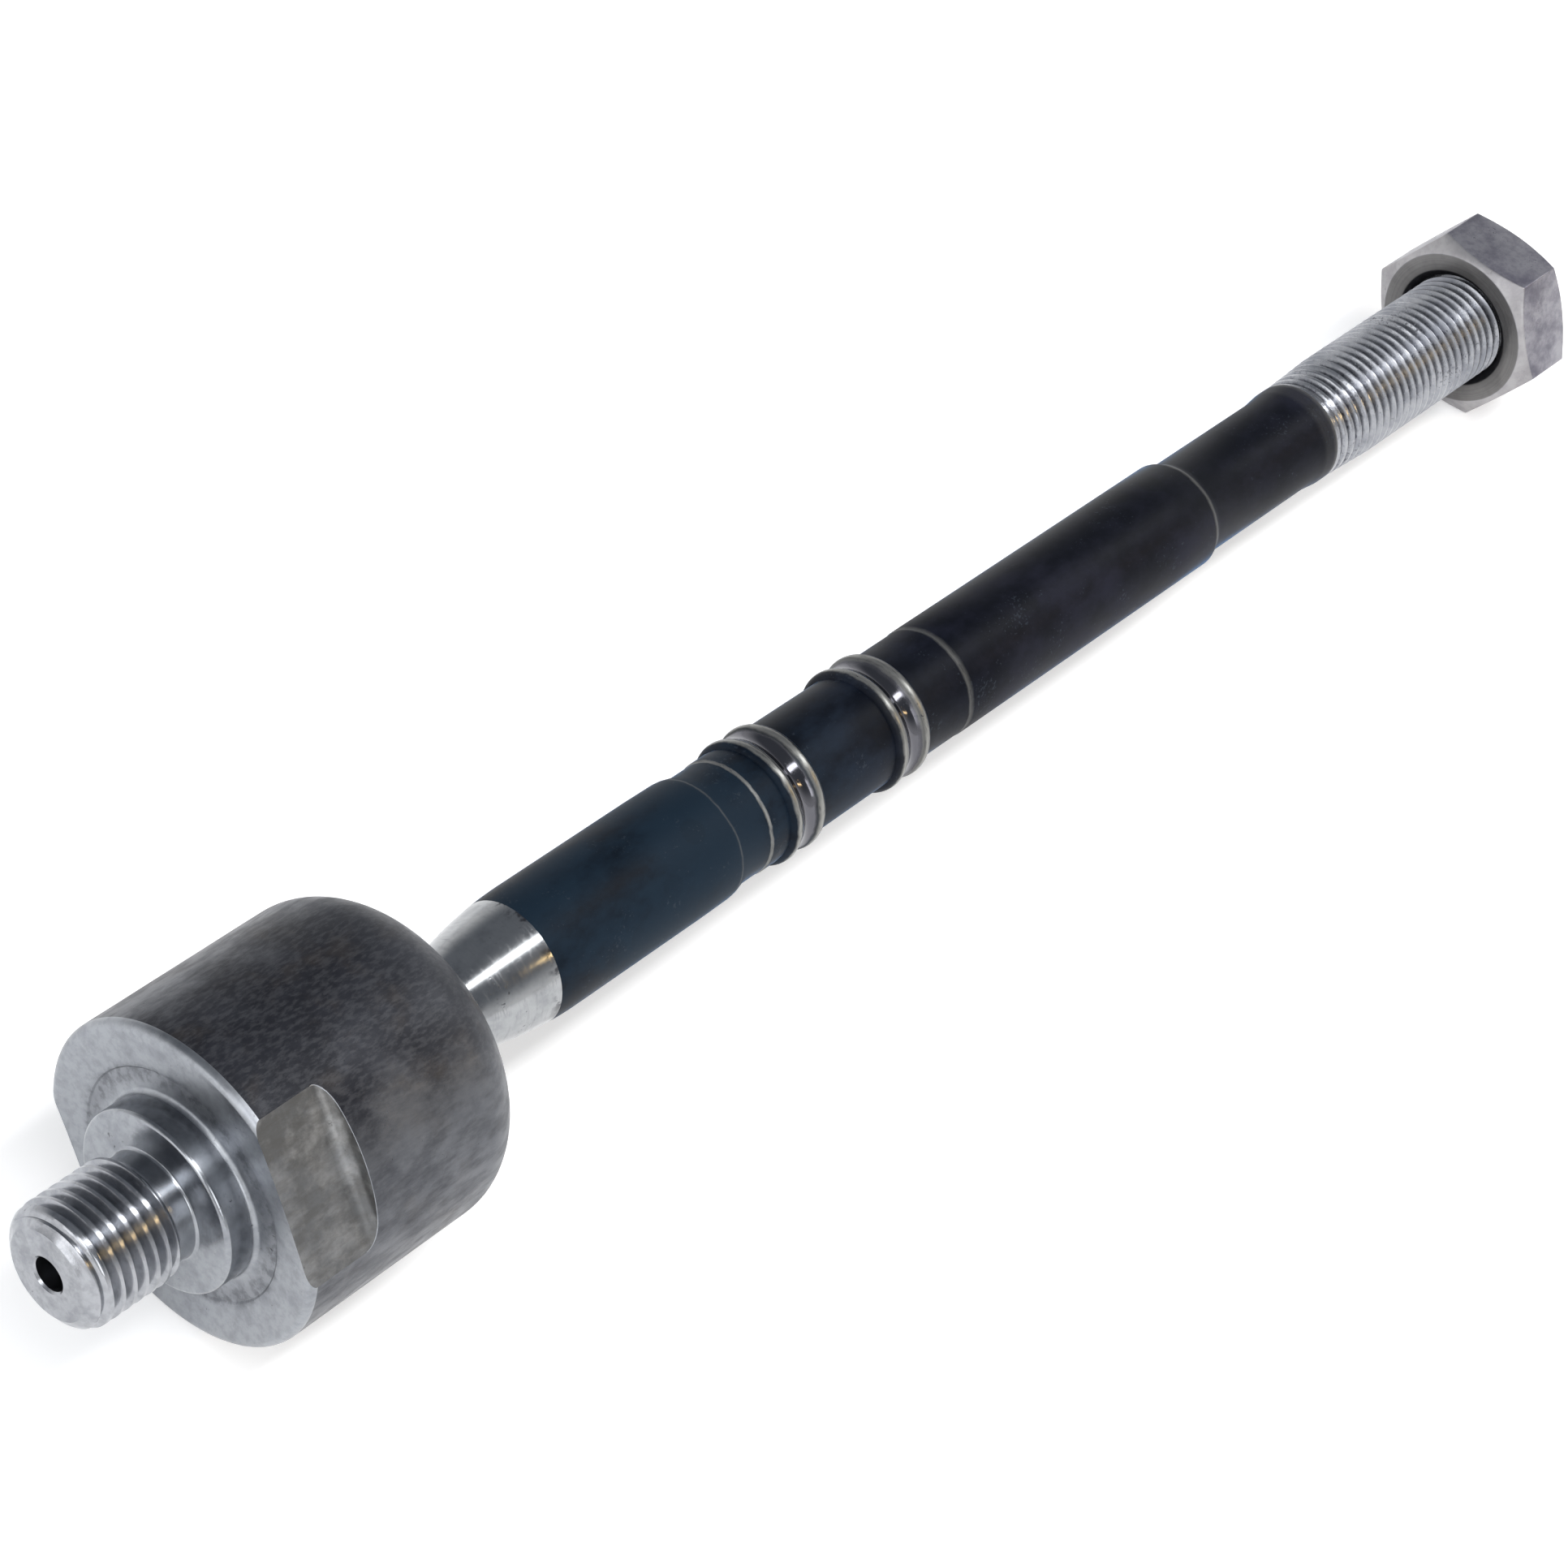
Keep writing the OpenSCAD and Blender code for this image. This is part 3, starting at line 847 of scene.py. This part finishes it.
# %% Bare neck
bare_steel = Finish("bare neck steel", 0.26, 1.0)
cloud = bare_steel.effect(stains, Scale=300, Stretch=0.8, Low=0.42, High=0.74)
scratch = bare_steel.effect(stains, Scale=520, Stretch=7, Low=0.50, High=0.68)
spots = bare_steel.effect(pits, Scale=2400, Amount=0.36)
along = bare_steel.along()
colour = bare_steel.mix(cloud, (0.38, 0.39, 0.40), (0.26, 0.27, 0.285))
colour = bare_steel.mix(bare_steel.times(scratch, 0.3), colour, (0.20, 0.205, 0.22))
smudged = bare_steel.effect(stains, Scale=650, Stretch=0.6, Low=0.50, High=0.60)
ends = bare_steel.mix(bare_steel.band(along, 0.0492, 0.0508), (0.0, 0.0, 0.0), (1.0, 1.0, 1.0))
ends = bare_steel.mix(bare_steel.band(along, 0.0425, 0.0395), ends, (0.9, 0.9, 0.9))
colour = bare_steel.mix(bare_steel.both(ends, bare_steel.times(smudged, 0.8)), colour, (0.05, 0.05, 0.06))
colour = bare_steel.mix(bare_steel.times(spots, 0.8), colour, (0.05, 0.05, 0.06))
bare_steel.set("Base Color", colour)
bare_steel.set("Roughness", bare_steel.span(scratch, 0.17, 0.27))
bare_steel.bump([(scratch, 0.12), (spots, -0.3)], 0.00002)

# %% [markdown]
# The rest of the rod has a dull coat, navy on the barrel and nearly black further out, with a blue sheen
# where the surface turns away. Two ramps along the axis say where it is rubbed off: thin lines on the
# small steps and on the crests of the ribs. The gap between two ribs has lost its coat too, and its steel
# is darker and polished.

# %% Coat
coat = Finish("rod coat", 0.5, 0.0)
coat.shader.inputs["Specular IOR Level"].default_value = 0.10
coat.shader.inputs["Sheen Weight"].default_value = 0.24
coat.shader.inputs["Sheen Roughness"].default_value = 0.15
coat.shader.inputs["Sheen Tint"].default_value = (0.14, 0.46, 1.0, 1)
waver = coat.effect(stains, Scale=420, Stretch=1, Low=0.3, High=0.7)
along = coat.along()
shifted = maths(coat.tree, "ADD", along, coat.times(waver, 0.00016))


def stripes(stops, first, last):
    place = add(coat.tree, "ShaderNodeMapRange", From_Min=first * mm, From_Max=last * mm)
    coat.tree.links.new(shifted, place.inputs["Value"])
    return coat.ramp(place.outputs["Result"], [((x - first) / (last - first), shade) for x, shade in stops])


def rib_stops(x):
    return [(x - 0.42, 0), (x - 0.14, 0.9), (x + 0.20, 0.9), (x + 0.42, 0)]


near_lines = [(79.0, 0), (79.75, 0), (79.88, 0.16), (80.0, 0.16), (80.12, 0)]
near_lines += [(85.05, 0), (85.2, 0.6), (85.42, 0.6), (85.55, 0)]
near_lines += rib_stops(89.3) + [(90.05, 1), (92.25, 1), (92.5, 0)] + rib_stops(93.1)[1:3]
near_lines += [(93.55, 0)]
far_lines = [(107.0, 0)] + rib_stops(107.75) + [(108.5, 1), (110.7, 1), (110.95, 0)]
far_lines += rib_stops(111.55)[1:3] + [(112.0, 0), (120.3, 0), (120.45, 0.42), (120.62, 0.42), (120.8, 0)]
far_lines += [(168.3, 0), (168.5, 0.3), (168.8, 0.3), (169.0, 0)]
far_lines += [(192.0, 0), (192.6, 0.05), (194.2, 0.05), (194.5, 0.3)]
bare = maths(coat.tree, "ADD", stripes(near_lines, 79, 107), stripes(far_lines, 107, 195))
gap_stops = [(89, 0), (89.75, 0), (90.0, 1), (92.35, 1), (92.6, 0)]
gap_stops += [(108.2, 0), (108.45, 1), (110.8, 1), (111.05, 0)]
gap = stripes(gap_stops, 89, 112)
smudge = coat.effect(stains, Scale=70, Stretch=0.6, Low=0.42, High=0.60)
fine = coat.effect(stains, Scale=420, Stretch=0.8, Low=0.40, High=0.66)
fleck = coat.effect(pits, Scale=2600, Amount=0.45)
wet_place = coat.effect(stains, Scale=18, Stretch=1, Low=0.48, High=0.56)
wet = coat.both(coat.effect(drops, Scale=150, Size=0.26), wet_place)
scratch = coat.effect(stains, Scale=700, Stretch=5, Low=0.50, High=0.68)
spots = coat.effect(pits, Scale=2600, Amount=0.34)
marks = coat.effect(lathe, Scale=2500, Along=1)
outer = coat.band(along, 0.075, 0.130)
paint = coat.mix(outer, (0.0010, 0.0035, 0.0085), (0.0022, 0.0032, 0.0072))
lighter = coat.mix(outer, (0.0085, 0.0210, 0.0370), (0.0140, 0.0150, 0.0270))
paint = coat.mix(coat.times(smudge, 0.8), paint, lighter)
paint = coat.mix(coat.times(fine, 0.25), paint, lighter)
paint = coat.mix(coat.both(wet, coat.span(outer, 0.12, 0.5)), paint, (0.0025, 0.0035, 0.0055))
paint = coat.mix(coat.times(fleck, 0.45), paint, (0.035, 0.045, 0.060))
steel = coat.mix(scratch, (0.31, 0.31, 0.295), (0.19, 0.19, 0.185))
steel = coat.mix(gap, steel, (0.125, 0.125, 0.14))
steel = coat.mix(coat.times(spots, 0.8), steel, (0.05, 0.05, 0.06))
coat.set("Base Color", coat.mix(bare, paint, steel))
coat.set("Metallic", bare)
shine = add(coat.tree, "ShaderNodeMix")
coat.tree.links.new(bare, shine.inputs["Factor"])
coat.tree.links.new(coat.span(smudge, 0.46, 0.56), shine.inputs["A"])
coat.tree.links.new(coat.span(gap, 0.32, 0.12), shine.inputs["B"])
coat.set("Roughness", shine.outputs["Result"])
coat.bump([(marks, 0.10), (spots, -0.25), (fleck, 0.2)], 0.00002)
rod.data.materials.append(coat.material)

# %% [markdown]
# The rod's thread and the nut are zinc plated, which is dull and pale. The zinc is darker and spotted
# where the radius is smaller, in the roots of the thread.

# %% Zinc thread
def zinc(name, light, dark, metallic, roughness):
    plated = Finish(name, roughness[0], metallic)
    cloud = plated.effect(stains, Scale=240, Stretch=0.8, Low=0.40, High=0.70)
    mottle = plated.effect(stains, Scale=900, Stretch=1, Low=0.44, High=0.64)
    spots = plated.effect(pits, Scale=2600, Amount=0.42)
    colour = plated.mix(plated.times(mottle, 0.4), plated.mix(cloud, light, dark), dark)
    plated.set("Roughness", plated.span(cloud, roughness[0], roughness[1]))
    plated.bump([(spots, -0.5), (mottle, 0.15)], 0.00003)
    return plated, plated.mix(plated.times(spots, 0.65), colour, (0.06, 0.06, 0.08))


thread_zinc, colour = zinc("zinc thread", (0.38, 0.39, 0.415), (0.25, 0.26, 0.29), 0.9, (0.22, 0.34))
end_face = thread_zinc.band(thread_zinc.along(), (rod_end - 0.05) * mm, (rod_end - 0.3) * mm)
deep = thread_zinc.both(thread_zinc.band(thread_zinc.radius(), 0.0067, 0.0061), end_face)
specks = thread_zinc.effect(stains, Scale=1500, Stretch=1, Low=0.50, High=0.58)
colour = thread_zinc.mix(thread_zinc.times(deep, 0.35), colour, (0.16, 0.165, 0.19))
colour = thread_zinc.mix(thread_zinc.both(thread_zinc.times(deep, 0.8), specks), colour, (0.03, 0.03, 0.05))
thread_zinc.set("Base Color", colour)
rod.data.materials.append(thread_zinc.material)
rod.data.materials.append(bare_steel.material)
print("Rod finishes:", [slot.name for slot in rod.data.materials])

# %% [markdown]
# The nut's zinc is duller still, with a purplish cast. Its end face was turned after plating and is
# darker, and the mouth of the thread is painted black as shadow with grime. The chamfers on the corners
# are painted paler as a reflection: they are the points that lie on the cone of the blank.

# %% Zinc nut
nut_zinc, colour = zinc("zinc nut", (0.33, 0.325, 0.36), (0.145, 0.141, 0.178), 0.7, (0.34, 0.46))
past_face = maths(nut_zinc.tree, "SUBTRACT", nut_zinc.along(), nut_x * mm)
out = nut_zinc.radius()
rise = nut_zinc.times(maths(nut_zinc.tree, "SUBTRACT", out, nut_face_r * mm), chamfer_slope)
off_cone = maths(nut_zinc.tree, "ABSOLUTE", maths(nut_zinc.tree, "SUBTRACT", past_face, rise))
chamfer = nut_zinc.both(nut_zinc.band(off_cone, 0.00016, 0.00006), nut_zinc.band(out, 0.0102, 0.0104))
# The chamfers are painted paler here as a reflection.
colour = nut_zinc.mix(nut_zinc.times(chamfer, 0.4), colour, (0.50, 0.485, 0.46))
faced = nut_zinc.both(nut_zinc.band(past_face, 0.00012, 0.00002), nut_zinc.band(out, 0.01035, 0.01020))
lathe_rings = nut_zinc.effect(lathe, Scale=3800, Along=0)
turned_zinc = nut_zinc.mix(lathe_rings, (0.10, 0.098, 0.092), (0.19, 0.186, 0.178))
colour = nut_zinc.mix(nut_zinc.times(faced, 0.85), colour, turned_zinc)
# The mouth of the thread is painted nearly black as shadow, with grime.
mouth = nut_zinc.both(nut_zinc.band(out, 0.0082, 0.0079), nut_zinc.band(past_face, 0.005, 0.004))
colour = nut_zinc.mix(nut_zinc.times(mouth, 0.92), colour, (0.008, 0.008, 0.010))
nut_zinc.set("Base Color", colour)
nut.data.materials.append(nut_zinc.material)
print("Zinc on the thread and the nut")

# %% [markdown]
# The seat is moulded acetal, a slightly waxy off-white plastic, smeared with grease.

# %% Seat
seat_plastic = Finish("seat plastic", 0.42, 0.0)
greasy = seat_plastic.effect(stains, Scale=180, Stretch=1, Low=0.42, High=0.7)
seat_plastic.set("Base Color", seat_plastic.mix(greasy, (0.78, 0.76, 0.68), (0.55, 0.47, 0.30)))
seat_plastic.set("Roughness", seat_plastic.span(greasy, 0.45, 0.2))
seat_plastic.bump([(greasy, 0.5)], 0.00004)
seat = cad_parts["ball_seat"]
seat.data.materials.clear()
seat.data.materials.append(seat_plastic.material)
